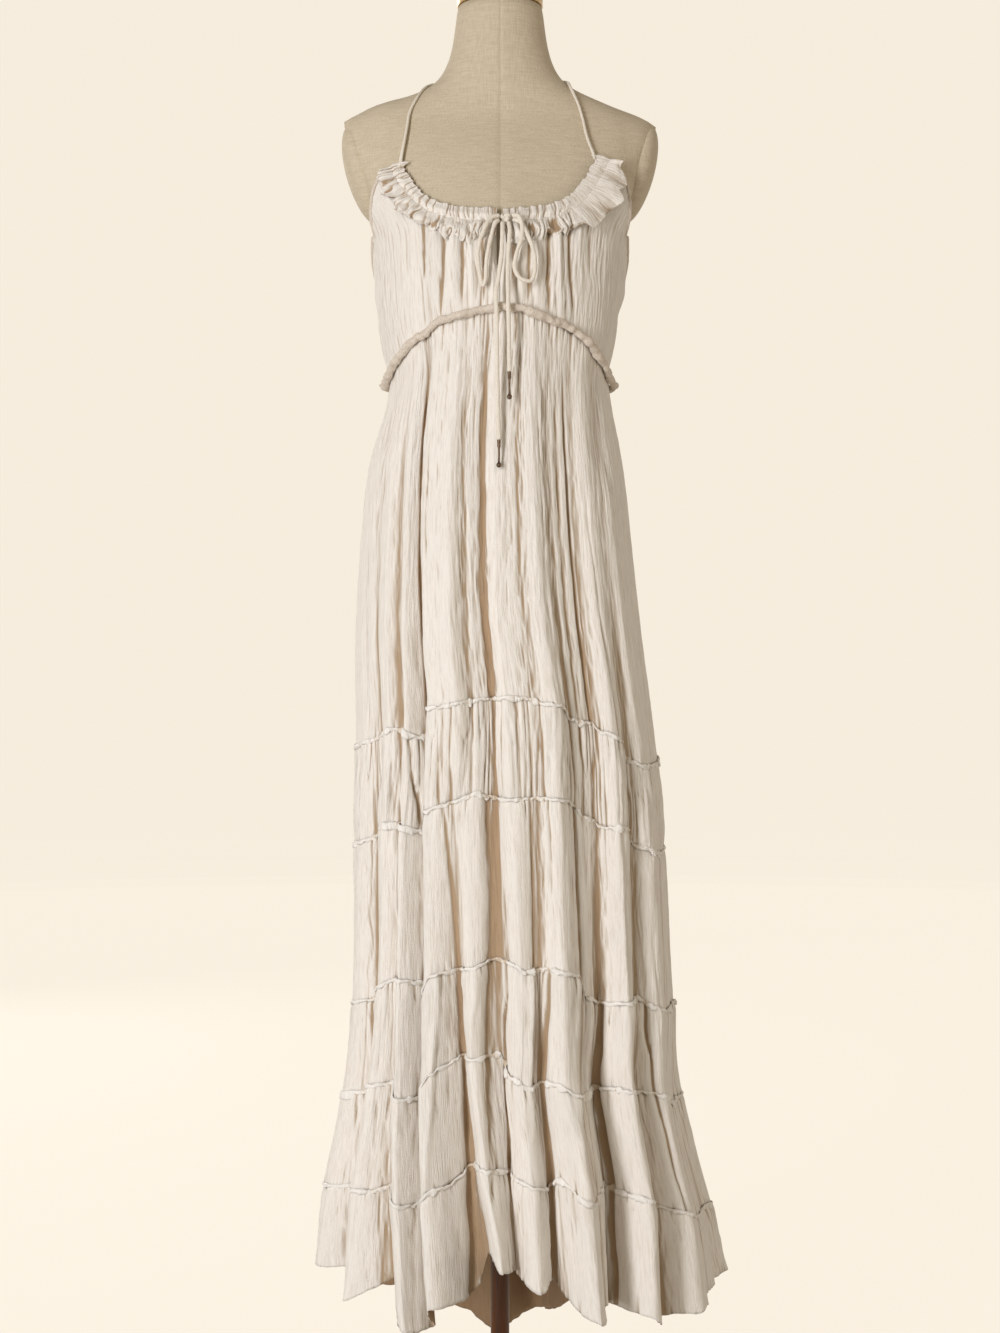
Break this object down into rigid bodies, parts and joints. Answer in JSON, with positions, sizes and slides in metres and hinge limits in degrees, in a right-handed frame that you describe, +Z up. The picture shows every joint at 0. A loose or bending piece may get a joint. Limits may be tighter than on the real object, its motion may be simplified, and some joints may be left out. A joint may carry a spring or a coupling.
{
  "type": "maxi dress on a dress form",
  "caption": "Tiered halter maxi dress of cream crinkled gauze with a drawstring neckline, standing on a limbless linen dress form with a wooden pole and base.",
  "frame": {"origin": "middle of the base's flat underside", "axes": "+Z up the pole, front of the dress towards -Y, +X to the viewer's right from the front"},
  "size_m": [0.4768, 0.4821, 1.6883],
  "materials": {
    "gauze": "matt crinkled cotton gauze, ivory",
    "ribbon": "matt self-fabric rouleau cord, ivory",
    "linen": "plain woven linen cover, beige",
    "brass": "satin aged brass",
    "wood": "dark red-brown satin varnish",
    "dark_metal": "dark bronze, worn satin"
  },
  "bodies": {
    "root": {"skirt_upper_front": "gauze", "skirt_upper_back": "gauze", "skirt_band_front": "gauze", "skirt_band_back": "gauze", "skirt_tier_three_front": "gauze", "skirt_tier_three_back": "gauze", "skirt_tier_four_front": "gauze", "skirt_tier_four_back": "gauze", "skirt_tier_five_front": "gauze", "skirt_tier_five_back": "gauze", "skirt_tier_six_front": "gauze", "skirt_tier_six_back": "gauze", "edging_band_top_front": "gauze", "edging_band_top_back": "gauze", "edging_band_foot_front": "gauze", "edging_band_foot_back": "gauze", "edging_tier_four_front": "gauze", "edging_tier_four_back": "gauze", "edging_tier_five_front": "gauze", "edging_tier_five_back": "gauze", "edging_tier_six_front": "gauze", "edging_tier_six_back": "gauze", "bodice_front_left": "gauze", "bodice_front_right": "gauze", "bodice_back": "gauze", "neck_casing_left": "gauze", "neck_casing_right": "gauze", "neck_frill_left": "gauze", "neck_frill_right": "gauze", "armhole_binding_left": "gauze", "armhole_binding_right": "gauze", "empire_piping_front": "gauze", "empire_piping_back": "gauze", "halter_strap": "ribbon", "drawstring_knot": "ribbon", "bow_loop_left": "ribbon", "bow_loop_right": "ribbon", "drawstring_end_left": "ribbon", "drawstring_end_right": "ribbon", "form_torso": "linen", "form_arm_plate_left": "linen", "form_arm_plate_right": "linen", "form_neck_cap": "brass", "stand_collar": "brass", "stand_pole": "wood", "stand_base": "wood", "drawstring_tip_left": "dark_metal", "drawstring_tip_right": "dark_metal"}
  },
  "joints": []
}
